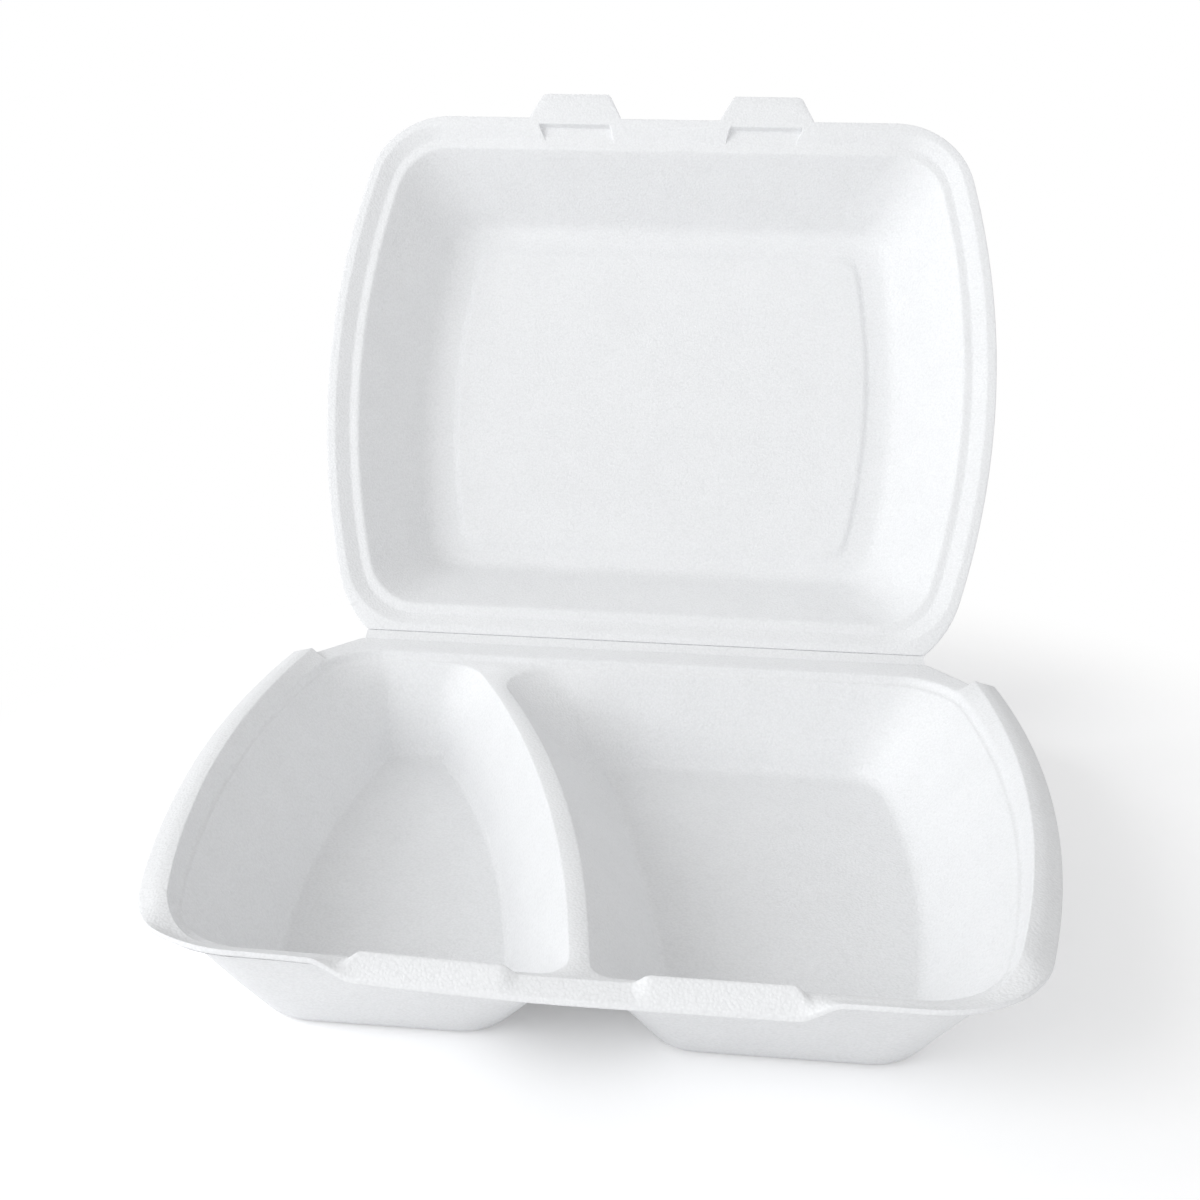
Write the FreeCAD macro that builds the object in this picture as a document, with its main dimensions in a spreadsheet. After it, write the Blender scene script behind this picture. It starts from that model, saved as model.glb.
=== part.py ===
import math
import os

import FreeCAD, Part
import Sketcher

# Foam clamshell box with two compartments, standing open.
# Each body is drawn in its own flat frame: X along the hinge, Y = 0 on the crease,
# Z = 0 on the face of the rim that meets the other half, cups going down to -Z.
# Only the body placements know where the open box stands in the shared frame.

os.makedirs("parts", exist_ok=True)
doc = FreeCAD.newDocument("clamshell")

# Sizes in millimetres, angles in degrees
SIZES = {
    # the sheet
    "wall": 2.2, "rim_sheet": 1.5, "wall_run": 2.6, "foot_run": 1.2,
    "lid_wall": 1.7, "lid_run": 2.0, "lid_foot_run": 0.95,
    # where the box stands in the shared frame
    "hinge_back": 46.3, "lid_raise": 62.0,
    # the living hinge
    "strip_width": 3.5, "strip_sheet": 1.2, "strip_half_length": 96.5, "crease_gap": 0.25,
    "strip_raise": 31.0,
    # the tray's rim, seen from above
    "tray_half_width": 120.0, "tray_side_radius": 380.0, "tray_widest": 66.0,
    "tray_front": 199.5, "tray_back_line": 25.0, "tray_front_corner": 31.0,
    "tray_back_corner": 43.0,
    "lip_crest_in": 6.4, "lip_foot_in": 9.8, "lip_height": 2.0, "lip_foot_drop": 0.8,
    "lip_start": 17.0, "hinge_half_end": 97.0, "hinge_half_wide": 109.5,
    # the tray's basin and its two compartments
    "tray_depth": 35.0, "basin_drop": 3.0, "basin_back": 11.0, "basin_corner": 21.0,
    "basin_side_radius": 330.0, "basin_widest": 80.0, "basin_half_width": 110.2,
    "basin_front": 189.7, "basin_in": 1.6,
    "ridge_centre_x": 490.6, "ridge_centre_y": 242.0, "ridge_left_radius": 491.6,
    "ridge_right_radius": 495.6, "ridge_corner": 15.0,
    "floor_half_left": 88.2, "floor_half_right": 87.2, "floor_side_radius": 325.0,
    "floor_widest": 86.0, "floor_front": 170.5, "floor_corner": 13.0,
    "left_floor_back": 25.0, "left_foot_centre_x": 360.5, "left_foot_centre_y": 196.2,
    "left_foot_radius": 341.5, "left_back_corner": 5.5,
    "right_floor_back": 23.2, "right_foot_centre_x": 1037.9, "right_foot_centre_y": 320.8,
    "right_foot_radius": 1069.2, "floor_soft": 2.6, "foot_soft": 3.4,
    # the drooping front lip and its two locking pads
    "droop_half": 50.0, "droop_run": 6.5, "droop_drop": 4.0, "droop_crest_in": 6.0,
    "pad_centre": 32.5, "pad_foot": 44.0, "pad_crest": 36.0, "pad_front_in": 5.0,
    "pad_deep": 6.2, "pad_height": 2.0,
    # the lid's rim, seen from inside
    "lid_half_width": 118.8, "lid_side_radius": 295.0, "lid_widest": 98.5,
    "lid_front": 193.6, "lid_back_line": 10.0, "lid_front_corner": 29.0,
    "lid_back_corner": 40.0,
    "flange_flat": 3.2, "shoulder_in": 7.8, "ledge_in": 11.0, "ledge_drop": 2.6,
    "shoulder_back": 7.5, "ledge_back": 11.0, "shoulder_corner": 21.0,
    # the lid's cup and panel
    "lid_depth": 31.0, "panel_half_width": 87.6, "panel_side_radius": 290.0,
    "panel_front": 163.2, "panel_back": 30.4, "panel_corner": 12.0,
    "panel_soft": 3.0, "lid_top_soft": 3.6,
    "centre_half_width": 75.9, "centre_side_radius": 255.0, "centre_front": 152.0,
    "centre_back": 41.0, "centre_corner": 7.0, "centre_rise": 1.2, "centre_run": 1.6,
    # the two locking tabs
    "tab_centre": 35.1, "tab_root": 34.2, "tab_tip": 24.5, "tab_long": 9.4,
    "tab_corner": 3.0, "recess_long": 26.5, "recess_in": 2.4, "recess_wide": 4.2,
    "recess_sheet": 1.2,
}

sheet = doc.addObject("Spreadsheet::Sheet", "dims")
for row, (alias, value) in enumerate(SIZES.items(), start=1):
    sheet.set(f"A{row}", alias)
    sheet.set(f"B{row}", str(value))
    sheet.setAlias(f"B{row}", alias)
doc.recompute()


def named(text):
    """Turn words like {wall} into references to the sheet's cells."""
    return text.replace("{", "dims.").replace("}", "")


def number(text):
    """The value that such an expression has at the sizes above."""
    words = {"sqrt": math.sqrt, "cos": lambda a: math.cos(math.radians(a)),
             "sin": lambda a: math.sin(math.radians(a))}
    total = 0.0
    for sign, term in signed_terms(text):
        product = 1.0
        for factor in term.split("*"):
            factor = factor.strip()
            call = factor.split("(")[0]
            if call in words:
                product *= words[call](number(factor[len(call) + 1:-1]))
            elif factor.startswith("{"):
                product *= SIZES[factor[1:-1]]
            else:
                product *= float(factor)
        total += sign * product
    return total


def signed_terms(text):
    """Split a sum such as '{a} - 2 * {b}' into its signed terms."""
    terms, sign, word, depth = [], 1.0, "", 0
    for mark in text.replace(" ", ""):
        if mark in "+-" and depth == 0:
            if word:
                terms.append((sign, word))
            sign, word = (1.0 if mark == "+" else -1.0), ""
            continue
        depth += (mark == "(") - (mark == ")")
        word += mark
    terms.append((sign, word))
    return terms


def flipped(text):
    """The same sum with every sign turned round."""
    return " ".join(("- " if sign > 0 else "+ ") + term for sign, term in signed_terms(text))


def less(first, second):
    """The first sum less the second."""
    return f"{first} {flipped(second)}"


def more(first, second):
    """The first sum and the second."""
    return less(first, flipped(second))


def halfway(first, second):
    """The mean of two sums."""
    def half(text):
        return " ".join(("+ " if sign > 0 else "- ") + "0.5 * " + term
                        for sign, term in signed_terms(text))
    return more(half(first), half(second))


def body(name):
    made = doc.addObject("PartDesign::Body", name)
    made.Label = name
    return made


def sketch(owner, name, plane="flat", level=None):
    """A sketch in the body's frame: flat at a height, or upright across X or Y."""
    made = owner.newObject("Sketcher::SketchObject", name)
    made.Label = name
    turn = {"flat": FreeCAD.Rotation(),
            "across_x": FreeCAD.Rotation(FreeCAD.Vector(1, 1, 1), 120)}[plane]
    made.Placement = FreeCAD.Placement(FreeCAD.Vector(), turn)
    if level is not None:
        axis = {"flat": "z", "across_x": "x"}[plane]
        made.setExpression(f"Placement.Base.{axis}", named(level))
    return made


def size(made, kind, refs, text, name):
    """Add a dimension that follows an expression."""
    value = number(text)
    if kind in ("DistanceX", "DistanceY") and value < 0:
        geo, pos = refs[2], refs[3]
        refs, text, value = (geo, pos, refs[0], refs[1]), flipped(text), -value
    index = made.addConstraint(Sketcher.Constraint(kind, *refs, value))
    made.renameConstraint(index, name)
    made.setExpression(f"Constraints.{name}", named(text))


def side(cx, cy, radius, half=1.0):
    return {"cx": cx, "cy": cy, "r": radius, "half": half}


def outline(owner, name, level, right, left, front, back, corners):
    """A closed outline: bowed right and left sides, level front and back lines and four
    rounded corners (front right, back right, back left, front left), all tangent."""
    made = sketch(owner, name, "flat", level)
    yf, yb = number(front), number(back)
    radii = [number(c) for c in corners]

    def corner(which, s, line, r, up):
        """Centre of a corner, and where it leaves the side's arc."""
        cx, cy, big = number(s["cx"]), number(s["cy"]), number(s["r"])
        inner = big - r * (1.0 if (which == "right") == (s["half"] > 0) else -1.0)
        yc = line + r * up
        xc = cx + s["half"] * math.sqrt(inner ** 2 - (yc - cy) ** 2)
        k = big / inner
        return (xc, yc), (cx + (xc - cx) * k, cy + (yc - cy) * k)

    c_fr, t_fr = corner("right", right, yf, radii[0], 1)
    c_br, t_br = corner("right", right, yb, radii[1], -1)
    c_bl, t_bl = corner("left", left, yb, radii[2], -1)
    c_fl, t_fl = corner("left", left, yf, radii[3], 1)
    walk = [
        ("arc", (number(right["cx"]), number(right["cy"])), t_fr, t_br, right["half"] > 0),
        ("arc", c_br, t_br, (c_br[0], yb), True),
        ("line", None, (c_br[0], yb), (c_bl[0], yb), True),
        ("arc", c_bl, (c_bl[0], yb), t_bl, True),
        ("arc", (number(left["cx"]), number(left["cy"])), t_bl, t_fl, left["half"] < 0),
        ("arc", c_fl, t_fl, (c_fl[0], yf), True),
        ("line", None, (c_fl[0], yf), (c_fr[0], yf), True),
        ("arc", c_fr, (c_fr[0], yf), t_fr, True),
    ]
    ends = []
    for kind, centre, p, q, forward in walk:
        if kind == "line":
            made.addGeometry(Part.LineSegment(FreeCAD.Vector(*p, 0), FreeCAD.Vector(*q, 0)))
            ends.append((1, 2))
            continue
        a, b = (p, q) if forward else (q, p)
        r = math.dist(centre, p)
        start = math.atan2(a[1] - centre[1], a[0] - centre[0])
        stop = math.atan2(b[1] - centre[1], b[0] - centre[0])
        if stop < start:
            stop += 2 * math.pi
        ring = Part.Circle(FreeCAD.Vector(*centre, 0), FreeCAD.Vector(0, 0, 1), r)
        made.addGeometry(Part.ArcOfCircle(ring, start, stop))
        ends.append((1, 2) if forward else (2, 1))
    for i in range(8):
        j = (i + 1) % 8
        made.addConstraint(Sketcher.Constraint("Tangent", i, ends[i][1], j, ends[j][0]))
    for i, text, word in ((2, back, "back"), (6, front, "front")):
        made.addConstraint(Sketcher.Constraint("Horizontal", i))
        size(made, "DistanceY", (-1, 1, i, 1), text, word)
    for i, s, word in ((0, right, "right"), (4, left, "left")):
        size(made, "DistanceX", (-1, 1, i, 3), s["cx"], word + "_x")
        size(made, "DistanceY", (-1, 1, i, 3), s["cy"], word + "_y")
        size(made, "Radius", (i,), s["r"], word + "_bow")
    for i, text, word in zip((7, 1, 3, 5), corners, ("fr", "br", "bl", "fl")):
        size(made, "Radius", (i,), text, "corner_" + word)
    return made


def barrel_lines(half, radius, widest, front, back, front_corner, back_corner):
    """What outline() needs for the same bow on both sides."""
    centre = less(half, radius)
    return (side(centre, widest, radius), side(flipped(centre), widest, radius, -1.0),
            front, back, (front_corner, back_corner, back_corner, front_corner))


def barrel(owner, name, level, half, radius, widest, front, back, front_corner, back_corner):
    return outline(owner, name, level, *barrel_lines(half, radius, widest, front, back,
                                                     front_corner, back_corner))


def between(one, two):
    """The outline halfway between two others."""
    def sides(s, t):
        return side(halfway(s["cx"], t["cx"]), halfway(s["cy"], t["cy"]),
                    halfway(s["r"], t["r"]), s["half"])
    return (sides(one[0], two[0]), sides(one[1], two[1]), halfway(one[2], two[2]),
            halfway(one[3], two[3]), tuple(halfway(*pair) for pair in zip(one[4], two[4])))


def polygon(owner, name, corners, plane="flat", level=None):
    """A closed polygon whose corners sit where the expressions say."""
    made = sketch(owner, name, plane, level)
    spots = [(number(u), number(v)) for u, v in corners]
    count = len(spots)
    for i in range(count):
        made.addGeometry(Part.LineSegment(FreeCAD.Vector(*spots[i], 0),
                                          FreeCAD.Vector(*spots[(i + 1) % count], 0)))
    for i in range(count):
        made.addConstraint(Sketcher.Constraint("Coincident", i, 2, (i + 1) % count, 1))
    for i, (u, v) in enumerate(corners):
        size(made, "DistanceX", (-1, 1, i, 1), u, f"u{i}")
        size(made, "DistanceY", (-1, 1, i, 1), v, f"v{i}")
    return made


def loft(owner, name, sections, cut=False, ruled=True):
    kind = "SubtractiveLoft" if cut else "AdditiveLoft"
    made = owner.newObject(f"PartDesign::{kind}", name)
    made.Label = name
    made.Profile = sections[0]
    made.Sections = list(sections[1:])
    made.Ruled = ruled
    doc.recompute()
    return made


def pad(owner, name, profile, length, middle=False):
    made = owner.newObject("PartDesign::Pad", name)
    made.Label = name
    made.Profile = profile
    made.setExpression("Length", named(length))
    made.SideType = "Symmetric" if middle else "One side"
    doc.recompute()
    return made


def pocket(owner, name, profile, length, middle=False, up=False):
    made = owner.newObject("PartDesign::Pocket", name)
    made.Label = name
    made.Profile = profile
    made.setExpression("Length", named(length))
    made.SideType = "Symmetric" if middle else "One side"
    made.Reversed = up
    doc.recompute()
    return made


def fillet(owner, name, radius, wanted):
    """Round the edges of the body's tip that the test picks."""
    tip = owner.Tip
    picked = [f"Edge{i}" for i, e in enumerate(tip.Shape.Edges, start=1) if wanted(e)]
    made = owner.newObject("PartDesign::Fillet", name)
    made.Label = name
    made.Base = (tip, picked)
    made.setExpression("Radius", named(radius))
    doc.recompute()
    return made


# The tray
tray = body("base_tray")
TRAY = dict(radius="{tray_side_radius}", widest="- {tray_widest}")
rim = barrel(tray, "rim_outline", "- {rim_sheet}", "{tray_half_width}", front="- {tray_front}",
             back="{tray_back_line}", front_corner="{tray_front_corner}",
             back_corner="{tray_back_corner}", **TRAY)
pad(tray, "rim_plate", rim, "{rim_sheet}")
lip_out = barrel(tray, "lip_outer", "0 * {wall}", "{tray_half_width}", front="- {tray_front}",
                 back="{tray_back_line}", front_corner="{tray_front_corner}",
                 back_corner="{tray_back_corner}", **TRAY)


def lip_ring(name, level, inward):
    """The tray's rim outline moved inward by a width."""
    return barrel(tray, name, level, less("{tray_half_width}", inward),
                  less("{tray_side_radius}", inward), "- {tray_widest}",
                  less("- {tray_front}", flipped(inward)), less("{tray_back_line}", inward),
                  less("{tray_front_corner}", inward), less("{tray_back_corner}", inward))


loft(tray, "raised_lip", [lip_out, lip_ring("lip_shoulder", "{lip_height} - 0.5",
                                            "{lip_crest_in} - 2.1"),
                          lip_ring("lip_crest", "{lip_height}", "{lip_crest_in} - 0.6")])

# The cups' outer faces: each compartment's outline grown by the sheet
BASIN_BACK = "- {basin_back} - {basin_in}"
BASIN_FRONT = "- {basin_front} + {basin_in}"
RIGHT_SIDE = "{basin_half_width} - {basin_side_radius}"


def compartment_lines(hand, top, grow):
    """One compartment's outline, at the ridge level or on the floor."""
    sign = 1.0 if hand == "right" else -1.0
    half = "{basin_half_width} - {basin_in}" if top else (
        "{floor_half_right}" if sign > 0 else "{floor_half_left}")
    bow = "{basin_side_radius}" if top else "{floor_side_radius}"
    widest = "- {basin_widest}" if top else "- {floor_widest}"
    centre = f"{half} - {bow}"
    outer = side(centre if sign > 0 else flipped(centre), widest, more(bow, grow), sign)
    front = less(BASIN_FRONT if top else "- {floor_front}", grow)
    if sign > 0:
        back = more(BASIN_BACK if top else "- {right_floor_back}", grow)
        inner = side("- {ridge_centre_x}", "- {ridge_centre_y}",
                     less("{ridge_right_radius}", grow)) if top else side(
            "- {right_foot_centre_x}", "- {right_foot_centre_y}",
            less("{right_foot_radius}", grow))
        corner = ("{basin_corner}", "{basin_corner}", "{ridge_corner}", "{ridge_corner}")
        if not top:
            corner = ("{floor_corner}",) * 4
        return outer, inner, front, back, tuple(more(c, grow) for c in corner)
    back = more(BASIN_BACK if top else "- {left_floor_back}", grow)
    inner = side("- {ridge_centre_x}", "- {ridge_centre_y}",
                 more("{ridge_left_radius}", grow)) if top else side(
        "- {left_foot_centre_x}", "- {left_foot_centre_y}", more("{left_foot_radius}", grow))
    corner = ("{ridge_corner}", "{ridge_corner}", "{basin_corner}", "{basin_corner}")
    if not top:
        corner = ("{floor_corner}", "{left_back_corner}", "{left_back_corner}",
                  "{floor_corner}")
    return inner, outer, front, back, tuple(more(c, grow) for c in corner)


# A wall turns into its floor in a band: how far above the floor its edge lies, and how far
# outside the floor's outline, both in lengths of the soft edge
BEND_UP, BEND_OUT, FLAT_IN = 0.6, 0.41, 0.6


def wall_sections(owner, name, high, high_level, floor, level, grow, soft):
    """Sections from a cup's mouth down its wall and round into its floor. floor(grow) gives
    the floor's outline moved outward."""
    bend_level = more(level, f"{BEND_UP} * {soft}")
    bend = floor(more(grow, f"{BEND_OUT} * {soft}"))
    middle = between(high, bend)
    return [outline(owner, f"{name}_mouth", high_level, *high),
            outline(owner, f"{name}_middle", halfway(high_level, bend_level), *middle),
            outline(owner, f"{name}_bend", bend_level, *bend),
            outline(owner, f"{name}_flat", level, *floor(less(grow, f"{FLAT_IN} * {soft}")))]


FLOOR = "- {tray_depth} + {wall}"
for hand in ("left", "right"):
    loft(tray, f"{hand}_cup", wall_sections(
        tray, f"{hand}_cup", compartment_lines(hand, True, "1.35 * {wall_run}"),
        "- {rim_sheet} + 0.2", lambda grow, hand=hand: compartment_lines(hand, False, grow),
        "- {tray_depth}", "{foot_run}", "{foot_soft}"))
basin_under = barrel(tray, "basin_under_high", "- 0.5 * {rim_sheet}",
                     "{basin_half_width} + {wall_run}", "{basin_side_radius}",
                     "- {basin_widest}", "- {basin_front} - {wall_run}",
                     "- {basin_back} + {wall_run}", "{basin_corner} + 2", "{basin_corner} + 2")
basin_keel = barrel(tray, "basin_under_low", "- {basin_drop} - 0.8 * {wall}",
                    "{basin_half_width} + 0.2 * {wall}", "{basin_side_radius}",
                    "- {basin_widest}", "- {basin_front} - 0.2 * {wall}",
                    "- {basin_back} + 0.2 * {wall}", "{basin_corner} + 1",
                    "{basin_corner} + 1")
loft(tray, "basin_under", [basin_under, basin_keel])
basin_high = barrel(tray, "basin_high", "- {lip_foot_drop}", "{basin_half_width}",
                    "{basin_side_radius}", "- {basin_widest}", "- {basin_front}",
                    "- {basin_back}", "{basin_corner}", "{basin_corner}")
basin_low = barrel(tray, "basin_low", "- {basin_drop}", "{basin_half_width} - {basin_in}",
                   "{basin_side_radius}", "- {basin_widest}", BASIN_FRONT, BASIN_BACK,
                   "{basin_corner}", "{basin_corner}")
lip_clear = lip_ring("lip_clear", "{lip_height} + 1", "{lip_crest_in} + 0.6")
lip_cut = lip_ring("lip_inner_high", "{lip_height}", "{lip_crest_in} + 0.6")
lip_foot = barrel(tray, "lip_inner_foot", "0 * {wall}", "{basin_half_width} + 0.6",
                  "{basin_side_radius}", "- {basin_widest}", "- {basin_front} - 0.6",
                  "{tray_back_line} - {lip_foot_in}", "{basin_corner}", "{basin_corner}")
loft(tray, "lip_inner_face", [lip_clear, lip_cut, lip_foot], cut=True)
basin_brim = barrel(tray, "basin_brim", "0 * {wall}", "{basin_half_width} + 0.6",
                    "{basin_side_radius}", "- {basin_widest}", "- {basin_front} - 0.6",
                    "- {basin_back} + 0.6", "{basin_corner}", "{basin_corner}")
loft(tray, "basin", [basin_brim, basin_high, basin_low], cut=True)
for hand in ("left", "right"):
    loft(tray, f"{hand}_space", wall_sections(
        tray, f"{hand}_space", compartment_lines(hand, True, "0 * {wall}"),
        "- {basin_drop}", lambda grow, hand=hand: compartment_lines(hand, False, grow),
        FLOOR, "0 * {wall}", "{floor_soft}"), cut=True)

# The rim is flat beside the hinge, and narrower than the raised lips
flat_back = polygon(tray, "flat_back_area", [
    ("- {tray_half_width} - 5", "- {lip_start}"), ("{tray_half_width} + 5", "- {lip_start}"),
    ("{tray_half_width} + 5", "{tray_back_line} + 5"),
    ("- {tray_half_width} - 5", "{tray_back_line} + 5")], level="0 * {wall}")
pocket(tray, "flat_back", flat_back, "{lip_height} + 1", up=True)
crease = polygon(tray, "crease_area", [
    ("- {tray_half_width} - 5", "- 0.5 * {strip_sheet} - {crease_gap}"),
    ("{tray_half_width} + 5", "- 0.5 * {strip_sheet} - {crease_gap}"),
    ("{tray_half_width} + 5", "{tray_back_line} + 5"),
    ("- {tray_half_width} - 5", "{tray_back_line} + 5")], level="{lip_height} + 1")
pocket(tray, "crease_cut", crease, "{lip_height} + {basin_drop} + {rim_sheet} + 2")
for hand, s in (("right", ""), ("left", "- ")):
    ear = polygon(tray, f"{hand}_ear_area", [
        (f"{s}{{hinge_half_end}}", "1 * {strip_width}"), (f"{s}{{hinge_half_end}}", "0 * {wall}"),
        (f"{s}{{hinge_half_wide}}", "- {lip_start}"),
        (f"{s}{{tray_half_width}} {'+' if not s else '-'} 5", "- {lip_start}"),
        (f"{s}{{tray_half_width}} {'+' if not s else '-'} 5", "1 * {strip_width}")],
        level="{lip_height} + 1")
    pocket(tray, f"{hand}_ear", ear, "{lip_height} + {rim_sheet} + 1.2")

# The front lip droops between its two ends and carries two pads
front_area = polygon(tray, "front_area", [
    ("- {droop_half} - {droop_run}", "- {basin_front} - 0.6"),
    ("- {droop_half} - {droop_run}", "- {tray_front} - 5"),
    ("{droop_half} + {droop_run}", "- {tray_front} - 5"),
    ("{droop_half} + {droop_run}", "- {basin_front} - 0.6")], level="{lip_height} + 1")
pocket(tray, "front_gap", front_area, "{lip_height} + {rim_sheet} + 1.05")


def lip_section(name, level, droop):
    """The front lip cut across X: foot, crest, outer edge, and the sheet below."""
    crest = ("- {tray_front} + {lip_crest_in}", "{lip_height}") if not droop else (
        "- {tray_front} + {droop_crest_in}", "0 * {wall}")
    edge = "0 * {wall}" if not droop else "- {droop_drop}"
    tuck = "0 * {wall}" if not droop else "0.5 * {rim_sheet}"
    under = "- {rim_sheet}" if not droop else "- {rim_sheet} - 0.25"
    return polygon(tray, name, [
        ("- {basin_front} - 0.6", "0 * {wall}"), crest, ("- {tray_front}", edge),
        (f"- {{tray_front}} + {tuck}", f"{edge} - 0.9 * {{rim_sheet}}"),
        (crest[0], under if droop else "- {rim_sheet}"),
        ("- {basin_front} + 0.4", "- {rim_sheet} - 0.5")], "across_x", level)


sections = [lip_section("lip_end_left", "- {droop_half} - {droop_run}", False),
            lip_section("lip_low_left", "- {droop_half}", True),
            lip_section("lip_low_right", "{droop_half}", True),
            lip_section("lip_end_right", "{droop_half} + {droop_run}", False)]
loft(tray, "drooping_lip", sections)


def pad_area(name, level, centre, width, front, deep):
    return polygon(tray, name, [
        (f"{centre} - 0.5 * {width}", front), (f"{centre} + 0.5 * {width}", front),
        (f"{centre} + 0.5 * {width}", f"{front} + {deep}"),
        (f"{centre} - 0.5 * {width}", f"{front} + {deep}")], level=level)


for hand, centre in (("left", "- {pad_centre}"), ("right", "{pad_centre}")):
    foot = pad_area(f"{hand}_pad_foot", "- 0.9 * {rim_sheet}", centre, "{pad_foot}",
                    "- {tray_front} + 0.6 * {pad_front_in}", "{pad_deep} + 0.7")
    crest = pad_area(f"{hand}_pad_crest", "{pad_height}", centre, "{pad_crest}",
                     "- {tray_front} + {pad_front_in}", "0.6 * {pad_deep}")
    loft(tray, f"{hand}_pad", [foot, crest])


# The hinge strip between the two creases
strip = body("hinge_strip")
slot = sketch(strip, "strip_section", "across_x", "- {strip_half_length}")
half_t, wide = SIZES["strip_sheet"] / 2, SIZES["strip_width"]
normal = FreeCAD.Vector(0, 0, 1)
slot.addGeometry(Part.LineSegment(FreeCAD.Vector(0, -half_t, 0), FreeCAD.Vector(wide, -half_t, 0)))
slot.addGeometry(Part.ArcOfCircle(Part.Circle(FreeCAD.Vector(wide, 0, 0), normal, half_t),
                                  -math.pi / 2, math.pi / 2))
slot.addGeometry(Part.LineSegment(FreeCAD.Vector(wide, half_t, 0), FreeCAD.Vector(0, half_t, 0)))
slot.addGeometry(Part.ArcOfCircle(Part.Circle(FreeCAD.Vector(0, 0, 0), normal, half_t),
                                  math.pi / 2, 3 * math.pi / 2))
for i, j in ((0, 1), (1, 2), (2, 3), (3, 0)):
    slot.addConstraint(Sketcher.Constraint("Tangent", i, 2, j, 1))
slot.addConstraint(Sketcher.Constraint("Horizontal", 0))
slot.addConstraint(Sketcher.Constraint("Coincident", 3, 3, -1, 1))
size(slot, "DistanceX", (-1, 1, 1, 3), "{strip_width}", "strip_width")
size(slot, "Radius", (1,), "0.5 * {strip_sheet}", "round_edge")
pad(strip, "strip_sheet_pad", slot, "2 * {strip_half_length}")

# The lid
lid = body("lid")


def lid_lines(inward, back, corner, back_corner):
    """The lid's rim outline moved inward by a width."""
    return barrel_lines(less("{lid_half_width}", inward), less("{lid_side_radius}", inward),
                        "{lid_widest}", back, less("{lid_front}", inward), back_corner,
                        corner)


def lid_ring(name, level, *line):
    return outline(lid, name, level, *lid_lines(*line))


lid_rim = lid_ring("lid_rim_outline", "- {rim_sheet}", "0 * {wall}", "- {lid_back_line}",
                   "{lid_front_corner}", "{lid_back_corner}")
pad(lid, "lid_rim_plate", lid_rim, "{rim_sheet}")
for hand, centre in (("left", "- {tab_centre}"), ("right", "{tab_centre}")):
    tab = polygon(lid, f"{hand}_tab_area", [
        (f"{centre} - 0.5 * {{tab_root}}", "{lid_front} - 1"),
        (f"{centre} + 0.5 * {{tab_root}}", "{lid_front} - 1"),
        (f"{centre} + 0.5 * {{tab_tip}}", "{lid_front} + {tab_long}"),
        (f"{centre} - 0.5 * {{tab_tip}}", "{lid_front} + {tab_long}")], level="- {rim_sheet}")
    pad(lid, f"{hand}_tab", tab, "{rim_sheet}")
tab_end = SIZES["lid_front"] + SIZES["tab_long"]
fillet(lid, "tab_corners", "{tab_corner}",
       lambda e: all(abs(v.Y - tab_end) < 0.01 for v in e.Vertexes)
       and abs(e.Vertexes[0].Z - e.Vertexes[-1].Z) > 0.5)
for hand, centre in (("left", "- {tab_centre}"), ("right", "{tab_centre}")):
    shell = polygon(lid, f"{hand}_recess_shell_area", [
        (f"{centre} - 0.5 * {{recess_long}} - {{recess_sheet}}",
         "{lid_front} - {recess_in} - {recess_wide} - 1"),
        (f"{centre} + 0.5 * {{recess_long}} + {{recess_sheet}}",
         "{lid_front} - {recess_in} - {recess_wide} - 1"),
        (f"{centre} + 0.5 * {{recess_long}} + {{recess_sheet}}",
         "{lid_front} - {recess_in} + {recess_sheet}"),
        (f"{centre} - 0.5 * {{recess_long}} - {{recess_sheet}}",
         "{lid_front} - {recess_in} + {recess_sheet}")],
        level="- {ledge_drop} - {rim_sheet}")
    pad(lid, f"{hand}_recess_shell", shell, "{ledge_drop} + 0.5 * {rim_sheet}")
step_high = lid_ring("step_outer_high", "- 0.5 * {rim_sheet}", "{flange_flat} + 0.4",
                     "{shoulder_back} - 4", "{shoulder_corner} + 3", "{shoulder_corner} + 3")
step_low = lid_ring("step_outer_low", "- {ledge_drop} - {rim_sheet}", "{shoulder_in} - 1.2",
                    "{shoulder_back} - 1.2", "{shoulder_corner}", "{shoulder_corner}")
loft(lid, "step_outer", [step_high, step_low])
cup_mouth = lid_lines("{ledge_in} - 0.9 * {lid_run}", "{ledge_back} - 0.9 * {lid_run}",
                      "{shoulder_corner}", "{shoulder_corner}")


def panel(grow):
    corner = more("{panel_corner}", grow)
    return barrel_lines(more("{panel_half_width}", grow), "{panel_side_radius}",
                        "{lid_widest}", less("{panel_back}", grow),
                        more("{panel_front}", grow), corner, corner)


def centre_area(name, level, grow):
    return barrel(lid, name, level, more("{centre_half_width}", grow), "{centre_side_radius}",
                  "{lid_widest}", less("{centre_back}", grow), more("{centre_front}", grow),
                  more("{centre_corner}", grow), more("{centre_corner}", grow))


loft(lid, "lid_cup", wall_sections(
    lid, "lid_cup", cup_mouth, "- {ledge_drop} - 0.4 * {rim_sheet}", panel, "- {lid_depth}",
    "{lid_foot_run}", "{lid_top_soft}"))
loft(lid, "shoulder", [
    lid_ring("shoulder_high", "0.01 * {wall}", "{flange_flat}", "{shoulder_back} - 4.4",
             "{shoulder_corner} + 4", "{shoulder_corner} + 4"),
    lid_ring("shoulder_low", "- {ledge_drop}", "{shoulder_in}", "{shoulder_back}",
             "{shoulder_corner}", "{shoulder_corner}")], cut=True)
loft(lid, "lid_space", wall_sections(
    lid, "lid_space", lid_lines("{ledge_in}", "{ledge_back}", "{shoulder_corner} - 2",
                                "{shoulder_corner} - 2"),
    "- {ledge_drop} + 0.01", panel, "- {lid_depth} + {lid_wall}", "0 * {wall}",
    "{panel_soft}"), cut=True)
PANEL_LEVEL = "- {lid_depth} + {lid_wall}"
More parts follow.
